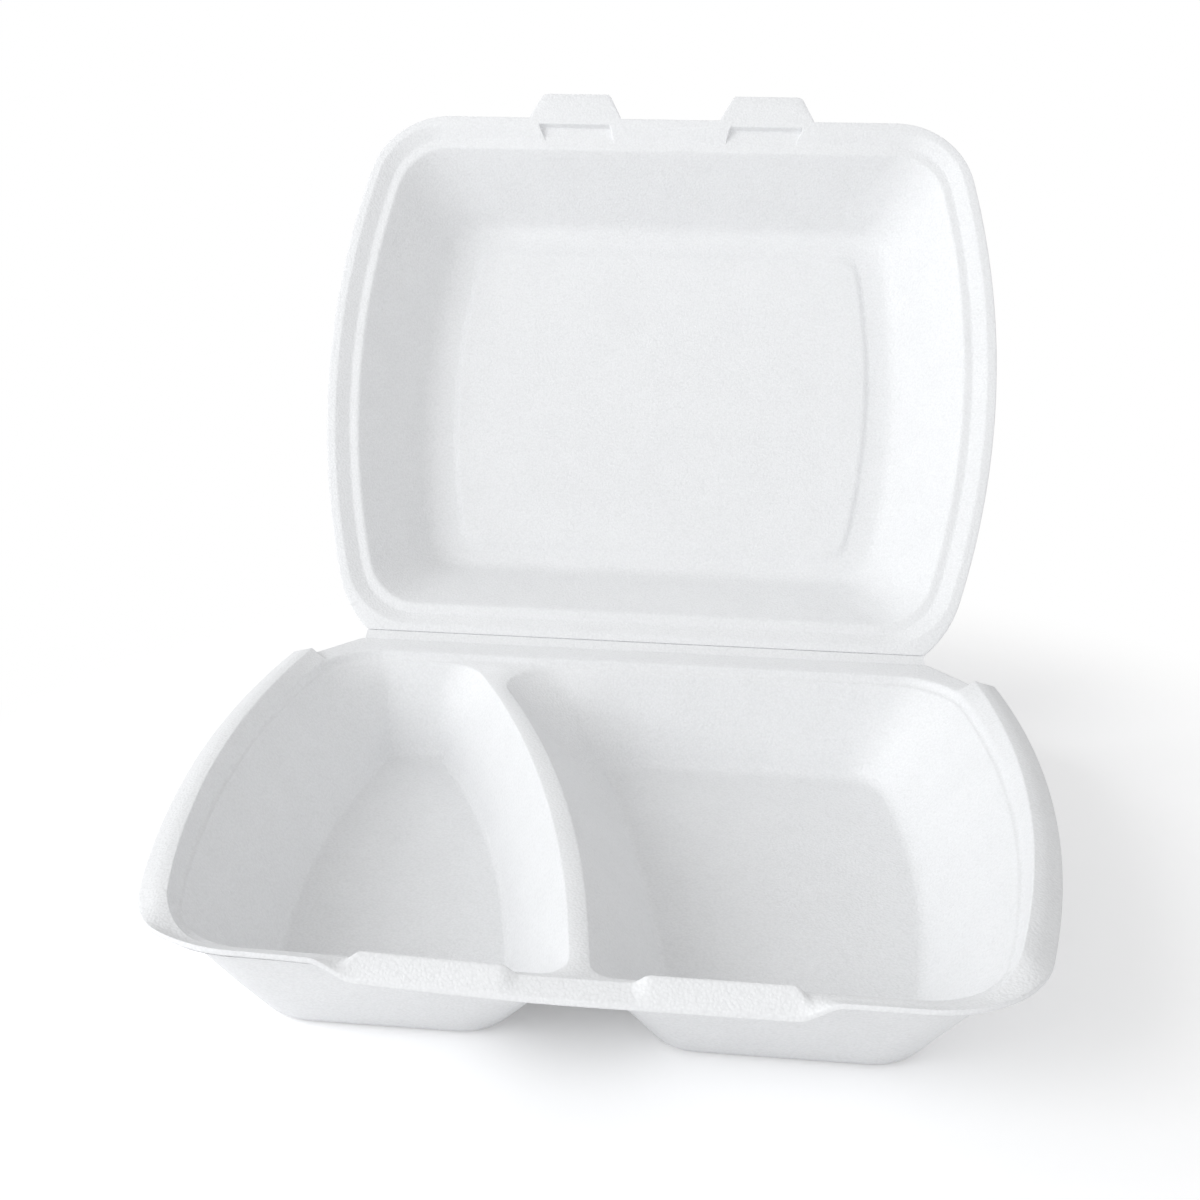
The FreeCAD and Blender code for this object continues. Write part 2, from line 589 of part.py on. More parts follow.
loft(lid, "centre_raised", [
    centre_area("centre_foot", PANEL_LEVEL + " - 0.01", "{centre_run}"),
    centre_area("centre_top", PANEL_LEVEL + " + {centre_rise}", "0 * {wall}")])
loft(lid, "centre_recess", [
    centre_area("recess_mouth", "- {lid_depth} - 0.01", "{centre_run}"),
    centre_area("recess_roof", "- {lid_depth} + {centre_rise}", "0 * {wall}")], cut=True)
for hand, centre in (("left", "- {tab_centre}"), ("right", "{tab_centre}")):
    spot = polygon(lid, f"{hand}_recess_area", [
        (f"{centre} - 0.5 * {{recess_long}}", "{lid_front} - {recess_in} - {recess_wide}"),
        (f"{centre} + 0.5 * {{recess_long}}", "{lid_front} - {recess_in} - {recess_wide}"),
        (f"{centre} + 0.5 * {{recess_long}}", "{lid_front} - {recess_in}"),
        (f"{centre} - 0.5 * {{recess_long}}", "{lid_front} - {recess_in}")],
        level="- {ledge_drop}")
    pocket(lid, f"{hand}_recess", spot, "{ledge_drop} + 1", up=True)
lid_crease = polygon(lid, "lid_crease_area", [
    ("- {lid_half_width} - 5", "0.5 * {strip_sheet} + {crease_gap}"),
    ("{lid_half_width} + 5", "0.5 * {strip_sheet} + {crease_gap}"),
    ("{lid_half_width} + 5", "- {lid_back_line} - 5"),
    ("- {lid_half_width} - 5", "- {lid_back_line} - 5")], level="1 * {lip_height}")
pocket(lid, "lid_crease_cut", lid_crease, "{lip_height} + {ledge_drop} + {rim_sheet} + 2")

# Where each body stands in the shared frame
axis = FreeCAD.Vector(1, 0, 0)
SHEET_MID = "0.5 * dims.strip_sheet"
STRIP_Y = "dims.hinge_back"
STRIP_Z = f"dims.tray_depth - {SHEET_MID}"
tray.setExpression("Placement.Base.y", STRIP_Y)
tray.setExpression("Placement.Base.z", "dims.tray_depth")
strip.Placement = FreeCAD.Placement(FreeCAD.Vector(), FreeCAD.Rotation(axis, 31))
strip.setExpression("Placement.Rotation.Angle", "dims.strip_raise")
strip.setExpression("Placement.Base.y", STRIP_Y)
strip.setExpression("Placement.Base.z", STRIP_Z)
lid.Placement = FreeCAD.Placement(FreeCAD.Vector(), FreeCAD.Rotation(axis, 62))
lid.setExpression("Placement.Rotation.Angle", "dims.lid_raise")
lid.setExpression("Placement.Base.y", f"{STRIP_Y} + dims.strip_width * cos(dims.strip_raise)"
                  f" - {SHEET_MID} * sin(dims.lid_raise)")
lid.setExpression("Placement.Base.z", f"{STRIP_Z} + dims.strip_width * sin(dims.strip_raise)"
                  f" + {SHEET_MID} * cos(dims.lid_raise)")

doc.recompute()
for thing in doc.Objects:
    if "Invalid" in thing.State or "Error" in thing.State:
        raise RuntimeError(f"{thing.Name} is {thing.State}")
for node in (tray, strip, lid):
    shape = node.Shape
    if shape.isNull() or not shape.isValid() or len(shape.Solids) != 1:
        raise RuntimeError(f"{node.Name} has no single valid solid")
    shape.exportStep(f"parts/{node.Name}.step")
    print(node.Name, round(shape.Volume / 1000, 2), "cm3", shape.BoundBox)
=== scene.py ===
"""Foam clamshell box, standing open: the moulded shells of tray and lid with their soft edges,
the foam material, and the light and camera of the photograph.

Both shells are drawn in millimetres in the flat frame of the hinge: X along the crease, Y = 0
on the crease, Z = 0 on the face of the rim, cups going down. Each named outline is a closed
curve; rings are its polar radius about one centre, all at the same angles.
"""
import math

import bpy
import numpy as np
from mathutils import Matrix, Vector, geometry


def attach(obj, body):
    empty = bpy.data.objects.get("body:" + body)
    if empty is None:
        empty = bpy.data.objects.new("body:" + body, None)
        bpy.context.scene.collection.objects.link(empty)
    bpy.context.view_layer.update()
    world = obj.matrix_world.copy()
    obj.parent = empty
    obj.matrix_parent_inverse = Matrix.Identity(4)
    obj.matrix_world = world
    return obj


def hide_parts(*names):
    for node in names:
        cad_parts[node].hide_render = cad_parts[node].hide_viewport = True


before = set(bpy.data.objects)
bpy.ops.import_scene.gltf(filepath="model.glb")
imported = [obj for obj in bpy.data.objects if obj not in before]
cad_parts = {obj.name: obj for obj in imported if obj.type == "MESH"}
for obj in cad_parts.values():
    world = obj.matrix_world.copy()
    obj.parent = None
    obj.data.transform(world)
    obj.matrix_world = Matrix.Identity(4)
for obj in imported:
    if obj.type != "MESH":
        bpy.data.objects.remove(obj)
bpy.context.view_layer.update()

# Where the box stands, as in the CAD
HINGE_BACK, DEPTH, RAISE = 46.3, 35.0, math.radians(62)
STRIP_WIDE, STRIP_SHEET, STRIP_RAISE = 3.5, 1.2, math.radians(31)
SHEET, WALL, LID_WALL = 1.5, 2.2, 1.7
CUP_TOP, RIDGE_UNDER, LID_DEPTH = -1.3, -4.7, 31.0
CREASE = 0.5 * STRIP_SHEET + 0.04


def smooth(a, b, x):
    """0 on a's side, 1 past b, and an S between them."""
    t = np.clip((np.asarray(x, float) - a) / (b - a), 0, 1)
    return t * t * (3 - 2 * t)


def soft_min(a, b, k):
    """The lower of two heights, with the corner between them rounded over k."""
    h = np.clip(0.5 + 0.5 * (b - a) / k, 0, 1)
    return b + (a - b) * h - k * h * (1 - h)


def soft_max(a, b, k):
    """The higher of two heights, with the corner between them rounded over k."""
    return -soft_min(-a, -b, k)


# Outlines
def outline(right, left, front, back, corners, n=160):
    """Points of a closed outline, anticlockwise: bowed sides (centre x, centre y, radius, half),
    level front and back lines, and rounded corners front right, back right, back left, front
    left. A corner's centre lies its own radius inside the line and the side's arc."""
    def corner(side, hand, line, r, up):
        cx, cy, big, half = side
        inner = big - r * (1 if hand == half else -1)
        yc = line + r * up
        xc = cx + half * math.sqrt(inner ** 2 - (yc - cy) ** 2)
        return (xc, yc), (cx + (xc - cx) * big / inner, cy + (yc - cy) * big / inner)

    def arc(centre, p, q, turn, m=n):
        a = math.atan2(p[1] - centre[1], p[0] - centre[0])
        b = math.atan2(q[1] - centre[1], q[0] - centre[0])
        while turn > 0 and b < a:
            b += 2 * math.pi
        while turn < 0 and b > a:
            b -= 2 * math.pi
        t = np.linspace(a, b, m)[:, None]
        return np.array(centre) + math.dist(centre, p) * np.hstack([np.cos(t), np.sin(t)])

    def line(p, q):
        return np.array(p) + np.linspace(0, 1, n)[:, None] * (np.array(q) - np.array(p))

    fr, t_fr = corner(right, 1, front, corners[0], 1)
    br, t_br = corner(right, 1, back, corners[1], -1)
    bl, t_bl = corner(left, -1, back, corners[2], -1)
    fl, t_fl = corner(left, -1, front, corners[3], 1)
    return np.vstack([
        arc(right[:2], t_fr, t_br, right[3]), arc(br, t_br, (br[0], back), 1),
        line((br[0], back), (bl[0], back)), arc(bl, (bl[0], back), t_bl, 1),
        arc(left[:2], t_bl, t_fl, -left[3]), arc(fl, t_fl, (fl[0], front), 1),
        line((fl[0], front), (fr[0], front)), arc(fr, (fr[0], front), t_fr, 1)])


def barrel(half, bow, widest, front, back, front_corner, back_corner):
    """An outline with the same bow on both sides."""
    return outline((half - bow, widest, bow, 1), (bow - half, widest, bow, -1), front, back,
                   (front_corner, back_corner, back_corner, front_corner))


def radius(points, centre, angles):
    """The distance from the centre to the outline along each angle."""
    d = points - np.array(centre)
    a, r = np.arctan2(d[:, 1], d[:, 0]), np.hypot(d[:, 0], d[:, 1])
    order = np.argsort(a)
    return np.interp((angles + math.pi) % (2 * math.pi) - math.pi, a[order], r[order],
                     period=2 * math.pi)


def to_line(angles, centre, normal, point):
    """The distance from the centre to a straight line along each angle, or a long way."""
    n = np.array(normal, float) / math.hypot(*normal)
    facing = n[0] * np.cos(angles) + n[1] * np.sin(angles)
    away = n @ (np.array(point, float) - np.array(centre))
    return np.where(facing > 1e-3, away / np.maximum(facing, 1e-3), 1e4)


def spread(count, places):
    """Angles all round, closer together at the places (angle, width, how much closer)."""
    t = np.linspace(-math.pi, math.pi, 20001)
    w = np.ones_like(t)
    for at, width, more in places:
        w += more * np.exp(-(((t - at + math.pi) % (2 * math.pi) - math.pi) / width) ** 2)
    total = np.concatenate([[0], np.cumsum(0.5 * (w[1:] + w[:-1]))])
    return np.interp(np.arange(count) / count * total[-1], total, t)


# Shells
def profile(stations):
    """Rings through the stations, each (radius, height, cut, bands after it). At a station with
    a cut the section follows a quadratic curve that leaves the straight runs one cut before
    and after the corner. Radius and height may change along the ring."""
    corners = [np.array(np.broadcast_arrays(r, z), float) for r, z, _, _ in stations]
    rings, bands = [], 0
    for i, (_, _, cut, bands_after) in enumerate(stations):
        here = corners[i]
        if cut == 0 or i in (0, len(stations) - 1):
            bend = [here]
        else:
            ends = []
            for there in (corners[i - 1], corners[i + 1]):
                gap = there - here
                far = np.maximum(np.hypot(*gap), 1e-6)
                ends.append(here + gap * np.minimum(cut / far, 0.48))
            steps = 3 if cut < 0.5 else 5 if cut < 2 else 7
            bend = [(1 - t) ** 2 * ends[0] + 2 * t * (1 - t) * here + t * t * ends[1]
                    for t in np.linspace(0, 1, steps)]
        if rings:
            a, b = rings[-1], bend[0]
            rings += [a + (b - a) * k / (bands + 1) for k in range(1, bands + 1)]
        rings += bend
        bands = bands_after
    return rings


def ring_points(ring, angles, centre):
    """x = centre + r cos(angle), y = centre + r sin(angle), z = the ring's height."""
    return np.column_stack([centre[0] + ring[0] * np.cos(angles),
                            centre[1] + ring[0] * np.sin(angles), ring[1]])


class Shell:
    """Vertices and faces of one closed skin as it is put together."""

    def __init__(self):
        self.points, self.faces = [], []

    def add(self, points):
        first = sum(len(p) for p in self.points)
        self.points.append(np.asarray(points, float))
        return list(range(first, first + len(points)))

    def band(self, outer, inner, flip=False):
        """Quads between two rings, that face upward where the first lies outside."""
        a, b = np.array(outer), np.array(inner)
        quads = np.column_stack([a, np.roll(a, -1), np.roll(b, -1), b])
        self.faces += (quads[:, ::-1] if flip else quads).tolist()

    def walls(self, rings, flip=False):
        for one, two in zip(rings, rings[1:]):
            self.band(one, two, flip)

    def cap(self, ring, centre, flip=False):
        """Triangles from a ring to one point in its middle."""
        a, mid = np.array(ring), self.add([centre])[0]
        fan = np.column_stack([a, np.roll(a, -1), np.full(len(a), mid)])
        self.faces += (fan[:, ::-1] if flip else fan).tolist()

    def fill(self, outer, holes):
        """Triangles over the area between an outer ring and the rings of its holes."""
        points = np.vstack(self.points)[:, :2]
        ids = np.array(outer + sum(holes, []))
        edges, start = [], 0
        for loop in [outer] + holes:
            k = start + np.arange(len(loop))
            edges += np.column_stack([k, np.roll(k, -1)]).tolist()
            start += len(loop)
        found = geometry.delaunay_2d_cdt([Vector(q) for q in points[ids]], edges, [], 0, 1e-6)
        first = np.array([origin[0] for origin in found[3]])
        tri = ids[first[np.array(found[2])]]
        a, b, c = points[tri[:, 0]], points[tri[:, 1]], points[tri[:, 2]]
        middle = (a + b + c) / 3
        keep = inside(middle, points[outer])
        for hole in holes:
            keep &= ~inside(middle, points[hole])
        down = (b[:, 0] - a[:, 0]) * (c[:, 1] - a[:, 1]) < (b[:, 1] - a[:, 1]) * (c[:, 0] - a[:, 0])
        tri[down] = tri[down][:, ::-1]
        self.faces += tri[keep].tolist()

    def mesh(self, name, place, bend=None):
        """The skin as an object at the origin, its place in the frame in its vertices."""
        points = np.vstack(self.points)
        if bend:
            points = bend(points)
        points = points / 1000 @ np.array(place.to_3x3()).T + np.array(place.translation)
        data = bpy.data.meshes.new(name)
        data.from_pydata(points.tolist(), [], self.faces)
        data.polygons.foreach_set("use_smooth", np.ones(len(data.polygons), bool))
        data.update()
        made = bpy.data.objects.new(name, data)
        bpy.context.scene.collection.objects.link(made)
        return made


def inside(places, ring):
    """Which of the places lie within a closed ring: those from which a line to the right
    crosses it an odd number of times."""
    x, y = ring[:, 0], ring[:, 1]
    x2, y2 = np.roll(x, -1), np.roll(y, -1)
    px, py = places[:, :1], places[:, 1:]
    hit = ((y > py) != (y2 > py)) & (px < (x2 - x) * (py - y) / (y2 - y + 1e-12) + x)
    return hit.sum(axis=1) % 2 == 1


# The tray's outlines: the centre of its rings, the poles of its compartments, and the front
# line of their upper outlines
MID = (0.0, -98.0)
POLES = {"left": (-62.0, -112.0), "right": (42.0, -98.0)}
FRONT_TOP = -192.2

# The tray's rim: how far in and up the crest of its lip is, where crest and brim sink to the
# front and by how much, the droop of the front edge between two X, the two pads, and the Y of
# the lip's back end and of the start of the front
LIP_IN, LIP_IN_FRONT, LIP_UP = 6.4, 4.4, 2.0
SINK_FROM, SINK_TO, CREST_SINK, BRIM_SINK = -178, -193, 1.6, 1.3
DROOP, DROOP_FROM, DROOP_TO = 4.0, 57.0, 47.0
PAD_UP, PAD_INNER, PAD_OUTER = 1.9, (11.8, 16.0), (46.6, 49.6)
LIP_END, RIM_FRONT = -17, -150


def rim_line(inward, front_inward=None):
    """The widest outline of the tray, moved inward."""
    front = -199.4 + (inward if front_inward is None else front_inward)
    return barrel(120 - inward, 380 - inward, -66, front, 25 - inward, 31 - inward,
                  43 - inward)


def basin_line(grow):
    """The outline inside which the tray goes down, moved outward."""
    return barrel(110.2 + grow, 330, -80, FRONT_TOP - 1.6 - grow, -11 + grow, 21, 21)


def compartment(hand, top, grow, reach=0.0):
    """One compartment's outline on the ridge level or on the floor, moved outward. reach
    moves the right one further under the divider and to the front, as it shows outside."""
    if hand == "right":
        grown = grow + reach
        if top:
            outer, front, back = (-221.4, -80.0, 330.0 + grow, 1), FRONT_TOP, -12.6
            inner, corners = (-490.6, -242.0, 495.6 - grown, 1), (21, 21, 15, 6)
        else:
            outer, front, back = (-237.8, -86.0, 325.0 + grow, 1), -170.5 - 0.4 * reach, -23.2
            inner, corners = (-1037.9, -320.8, 1069.2 - grown, 1), (13, 13, 13, 9)
        sides = outer, inner
    else:
        if top:
            outer, front, back = (221.4, -80.0, 330.0 + grow, -1), FRONT_TOP, -12.6
            inner, corners = (-490.6, -242.0, 491.6 + grow, 1), (6, 15, 21, 21)
        else:
            outer, front, back = (236.8, -86.0, 325.0 + grow, -1), -170.5, -25.0
            inner, corners = (-360.5, -196.2, 341.5 + grow, 1), (10, 5.5, 5.5, 13)
        sides = inner, outer
    return outline(*sides, front - grow, back + grow, [c + grow for c in corners])


# The tray's shell
def cup(hand, x, y):
    """Height of the outside of one compartment: it falls evenly from the outline on the ridge
    level, grown by the sheet, to the one on the floor, and rounds over into the floor."""
    pole = POLES[hand]
    angles, r = np.arctan2(y - pole[1], x - pole[0]), np.hypot(x - pole[0], y - pole[1])
    top = radius(compartment(hand, True, 3.5, 3.5), pole, angles)
    foot = radius(compartment(hand, False, 1.2, 3.0), pole, angles)
    z = CUP_TOP - (DEPTH + CUP_TOP) * (top - r) / (top - foot)
    return soft_max(z, -DEPTH, 3.0)


def cup_inside(shell, hand):
    """The inside of one compartment, a function of the angle round its pole and the way in.
    Returns the ring at its mouth."""
    pole, z_floor = POLES[hand], WALL - DEPTH
    a = spread(420, [(math.atan2(y, x), 0.25, 0.6) for x in (1, -1) for y in (1, -1)])
    top = radius(compartment(hand, True, 0.0), pole, a)
    floor = radius(compartment(hand, False, 0.0), pole, a)
    sections = profile([
        (top - 0.1, -3.0, 0, 0),
        (top - 0.8, -3.15, 0.7, 9),
        (floor, z_floor, 3.6, 1),
        (floor * 0.9, z_floor, 0, 3), (floor * 0.5, z_floor, 0, 3),
        (floor * 0.1, z_floor, 0, 0)])
    rings = [shell.add(ring_points(r, a, pole)) for r in sections]
    shell.walls(rings)
    shell.cap(rings[-1], (*pole, z_floor))
    return rings[0]


def tray_shell():
    """The tray as one closed skin, a function of the angle round the rim and the way in from
    the cut edge. On the way in the height goes from the edge up to the crest of the lip, down
    to the basin's brim and to the level of the ridge; there the two compartments open, each
    a function of its own angle and way in: a wall that runs straight from the compartment's
    upper outline to its floor outline, rounded at both. The underside takes, at each place,
    the lower one of the rim and of the two cups grown by the thickness of the sheet.
    Between the two S bends of the front the edge droops and two pads rise on the lip."""
    lip_end = [math.atan2(81, s * 113) for s in (1, -1)]
    bends = [math.atan2(-98, s * 53) for s in (1, -1)]
    pad_ends = [math.atan2(-98, x) for x in (-53, -12, 12, 53)]
    a = spread(620, [(t, 0.05, 2.5) for t in lip_end] + [(t, 0.05, 1.2) for t in bends + pad_ends]
               + [(math.atan2(-80, s * 100), 0.2, 0.5) for s in (1, -1)])
    r_line = to_line(a, MID, (0, 1), (0, -CREASE))
    slants = [to_line(a, MID, (s * 17, 12.5), (s * 97, 0)) for s in (1, -1)]
    r_slant = np.where(np.cos(a) > 0, slants[0], slants[1])
    r_lip_end = to_line(a, MID, (0, 1), (0, LIP_END))
    full = radius(rim_line(0), MID, a)
    edge = np.minimum(np.minimum(full, np.maximum(r_lip_end, r_slant)), r_line)
    x_edge, y_edge = MID[0] + edge * np.cos(a), MID[1] + edge * np.sin(a)
    front = y_edge < RIM_FRONT
    droop = (1 - smooth(DROOP_TO, DROOP_FROM, np.abs(x_edge))) * front
    near_lip = radius(rim_line(LIP_IN, LIP_IN_FRONT), MID, a)
    y_lip = MID[1] + near_lip * np.sin(a)
    lip = (1 - smooth(LIP_END - 1.2, LIP_END + 0.4, y_lip)) * smooth(SINK_TO, SINK_FROM, y_lip)
    sink = smooth(SINK_FROM, SINK_TO, y_lip)
    crest = np.minimum(near_lip, edge - 1.2)
    aside = np.abs(MID[0] + crest * np.cos(a))
    pad = smooth(*PAD_INNER, aside) * (1 - smooth(*PAD_OUTER, aside)) * front
    z_edge = -DROOP * droop
    z_crest = LIP_UP * lip - CREST_SINK * sink + PAD_UP * pad
    brim = np.minimum(radius(basin_line(-0.3), MID, a), edge - 2.0)
    z_brim = -0.85 + 0.5 * smooth(-30, -12, y_edge) - BRIM_SINK * sink
    ledge = np.minimum(radius(basin_line(-1.1), MID, a), edge - 3.0)
    inner_crest = crest - 0.7 * np.maximum(lip, pad)
    shoulder = edge + (crest - edge) * 0.62
    z_shoulder = z_edge + (z_crest - z_edge) * (0.86 - 0.2 * droop)
    stations = [
        (edge - 0.12, z_edge - SHEET, 0, 0),
        (edge, z_edge - SHEET + 0.25, 0.2, 1),
        (edge, z_edge, 0.22, 2),
        (shoulder, z_shoulder, 1.6, 1),
        (crest, z_crest, 0.8, 1),
        (inner_crest, z_crest, 0.8, 2),
        (brim, z_brim, 0.9, 1),
        (ledge, -2.5, 0, 0)]
    shell = Shell()
    rings = [shell.add(ring_points(r, a, MID)) for r in profile(stations)]
    shell.walls(rings)
    shell.fill(rings[-1], [cup_inside(shell, hand) for hand in POLES])

    # The underside
    under_crest = np.minimum(radius(rim_line(LIP_IN), MID, a), edge - 1.4)
    under_brim = np.minimum(radius(basin_line(3.2), MID, a), edge - 2.6)
    z_under = np.minimum(0, z_crest - PAD_UP * pad) - SHEET
    first, second = np.array([edge - 0.4, z_edge - SHEET]), np.array([under_crest, z_under])
    sections = [first, 0.5 * (first + second), second, (under_brim, z_under)]
    for s in np.concatenate([np.linspace(0.985, 0.70, 26), np.linspace(0.685, 0.03, 40)]):
        r = under_brim * s
        x, y = MID[0] + r * np.cos(a), MID[1] + r * np.sin(a)
        z = soft_min(cup("left", x, y), cup("right", x, y), 1.5)
        z = soft_min(z, np.where(s < 0.97, RIDGE_UNDER, z_under - (1 - s) * 60), 0.8)
        sections.append((r, np.maximum(z, -DEPTH)))
    lower = [shell.add(ring_points(k, a, MID)) for k in sections]
    shell.band(rings[0], lower[0], flip=True)
    shell.walls(lower, flip=True)
    middle = np.array([MID[0]]), np.array([MID[1]])
    z_middle = max(min(cup("left", *middle)[0], cup("right", *middle)[0]), -DEPTH)
    shell.cap(lower[-1], (*MID, z_middle), flip=True)
    return shell


def springy(points):
    """The soft rim springs up a little at the front left: highest at the corner, nothing by
    the middle of the front, a third of the way down the side or on the floor."""
    x, y, z = points.T
    up = 2.6 * smooth(0, 78, -x) * smooth(-128, -186, y) * smooth(-24, -4, z)
    up *= 0.5 + 0.5 * smooth(-192, -198, y - 6 * smooth(80, 110, -x))
    return points + np.column_stack([0 * x, 0 * x, up])


# The lid's shell: the centre of its rings, the middle of each tab, and its heights
TOP = (0.0, 98.5)
TAB_MIDDLE, TAB_TIP, LID_FRONT = 35.1, 203.0, 193.6
STEP_DOWN, UNDER_STEP, FIELD_UP = 2.6, 4.1, 1.2


def lid_line(inward, back, back_corner, front_corner):
    """The lid's flange and the lines within it, moved inward."""
    return barrel(118.8 - inward, 295 - inward, TOP[1], back, LID_FRONT - inward, back_corner,
                  front_corner)


def panel_line(grow):
    """Where the lid's walls meet its panel."""
    return barrel(87.6 + grow, 290, TOP[1], 30.4 - grow, 163.2 + grow, 12 + grow, 12 + grow)


def centre_line(grow, deep):
    """The field in the middle of the panel; deep moves its front and back lines."""
    return barrel(75.9 + grow, 255, TOP[1], 41 - deep, 152 + deep, 7 + grow, 7 + grow)


def lid_shell():
    """The lid as one closed skin, a function of the angle round the rim and the way in from the
    cut edge: a flat flange, a step down to a ledge, a wall that runs straight down to the
    panel, rounded at its foot, and a centre field that stands up a little. Two tabs lengthen
    the edge at the front, and behind each the step is moved outward to make its slot. The
    underside is the same section grown by the thickness of the sheet."""
    marks = [(s * (TAB_MIDDLE + d), 94.0) for s in (1, -1) for d in (-13.25, 13.25)]
    roots = [(s * x, 95.0) for s in (1, -1) for x in (18.0, 23.0, 47.5, 52.2)]
    a = spread(700, [(math.atan2(y, x), 0.018, 5.0) for x, y in marks]
               + [(math.atan2(y, x), 0.02, 2.5) for x, y in roots]
               + [(math.atan2(s * 75, t * 95), 0.25, 0.4) for s in (1, -1) for t in (1, -1)])
    base = radius(lid_line(0, -10, 40, 29), TOP, a)
    tab = np.zeros_like(a)
    tip = to_line(a, TOP, (0, 1), (0, TAB_TIP))
    for c in (-TAB_MIDDLE, TAB_MIDDLE):
        one = to_line(a, TOP, (9.4, 4.85), (c + 17.1, LID_FRONT))
        two = to_line(a, TOP, (-9.4, 4.85), (c - 17.1, LID_FRONT))
        tab = np.maximum(tab, soft_min(soft_min(tip, one, 1.6), two, 1.6))
    front = np.sin(a) > 0.3
    outer = np.where(front, np.maximum(base, tab), base)
    outer = np.minimum(outer, to_line(a, TOP, (0, -1), (0, CREASE)))

    from_tab = np.abs(np.abs(base * np.cos(a) * 0.972) - TAB_MIDDLE)
    slot = (1 - smooth(12.75, 13.45, from_tab)) * front
    flange = radius(lid_line(3.2, 3.1, 25, 25), TOP, a)
    step = radius(lid_line(7.8, 7.5, 21, 21), TOP, a)
    ledge = radius(lid_line(11, 11, 19, 19), TOP, a)
    slot_line = to_line(a, TOP, (0, 1), (0, 191.2))
    flange = np.minimum(flange + (slot_line - flange) * slot, outer - 0.9)
    step = np.minimum(step + (slot_line - 0.25 - step) * slot, outer - 1.6)
    panel = radius(panel_line(0), TOP, a)
    z_panel = LID_WALL - LID_DEPTH
    z_field = z_panel + FIELD_UP
    rise = radius(centre_line(1.6, 4.5), TOP, a)
    field = radius(centre_line(0, 0), TOP, a)
    stations = [
        (outer - 0.12, -SHEET, 0, 0),
        (outer, -SHEET + 0.25, 0.2, 1),
        (outer, 0, 0.25, 2),
        (flange, 0, 0.5, 2),
        (step, -STEP_DOWN, 0.6, 1),
        (ledge, -STEP_DOWN, 0.9, 9),
        (panel, z_panel, 4.2, 1),
        (rise, z_panel, 1.1, 1),
        (field, z_field, 1.0, 2),
        (field * 0.6, z_field, 0, 4),
        (field * 0.06, z_field, 0, 0)]
    shell = Shell()
    rings = [shell.add(ring_points(r, a, TOP)) for r in profile(stations)]
    shell.walls(rings)
    shell.cap(rings[-1], (*TOP, z_field))

    slot_out = to_line(a, TOP, (0, 1), (0, 192.4))
    wide = (1 - smooth(13.9, 14.9, from_tab)) * front
    under = np.minimum(radius(lid_line(3.6, 3.5, 25, 25), TOP, a), outer - 1.2)
    under = under + (slot_out - under) * wide
    under_step = radius(lid_line(6.6, 6.3, 22, 22), TOP, a)
    under_step = np.minimum(under_step + (slot_out - 0.2 - under_step) * wide, outer - 1.6)
    cup_mouth = radius(lid_line(9.9, 9.9, 20, 20), TOP, a)
    z_roof = FIELD_UP - LID_DEPTH
    top = radius(panel_line(0.95), TOP, a)
    mouth = radius(centre_line(1.6, 1.6), TOP, a)
    roof = radius(centre_line(0, 0), TOP, a)
    stations = [
        (outer - 0.4, -SHEET, 0, 2),
        (under, -SHEET, 0.4, 1),
        (under_step, -UNDER_STEP, 0.6, 1),
        (cup_mouth, -UNDER_STEP, 0.8, 8),
        (top, -LID_DEPTH, 4.6, 1),
        (mouth, -LID_DEPTH, 0.5, 1),
        (roof, z_roof, 0.5, 2),
        (roof * 0.6, z_roof, 0, 3),
        (roof * 0.06, z_roof, 0, 0)]
    lower = [shell.add(ring_points(r, a, TOP)) for r in profile(stations)]
    shell.band(rings[0], lower[0], flip=True)
    shell.walls(lower, flip=True)
    shell.cap(lower[-1], (*TOP, z_roof), flip=True)
    return shell


# Place both shells in the shared frame
to_tray = Matrix.Translation((0, HINGE_BACK / 1000, DEPTH / 1000))
mid = 0.5 * STRIP_SHEET
lid_y = HINGE_BACK + STRIP_WIDE * math.cos(STRIP_RAISE) - mid * math.sin(RAISE)
lid_z = DEPTH - mid + STRIP_WIDE * math.sin(STRIP_RAISE) + mid * math.cos(RAISE)
to_lid = Matrix.Translation((0, lid_y / 1000, lid_z / 1000)) @ Matrix.Rotation(RAISE, 4, "X")
tray = tray_shell().mesh("tray_shell", to_tray, springy)
lid = lid_shell().mesh("lid_shell", to_lid)
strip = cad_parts["hinge_strip"]


# Materials
def node(tree, kind, at=(0, 0), **values):
    """A new node with its inputs or settings given by name."""
    made = tree.nodes.new(kind)
    made.location = at
    for key, value in values.items():
        if key in made.inputs:
            made.inputs[key].default_value = value
        else:
            setattr(made, key, value)
    return made


def times(tree, source, factor, add, at):
    """source x factor + add, where add is a number or another output."""
    made = node(tree, "ShaderNodeMath", at, operation="MULTIPLY_ADD")
    tree.links.new(source, made.inputs[0])
    made.inputs[1].default_value = factor
    if isinstance(add, float):
        made.inputs[2].default_value = add
    else:
        tree.links.new(add, made.inputs[2])
    return made.outputs[0]


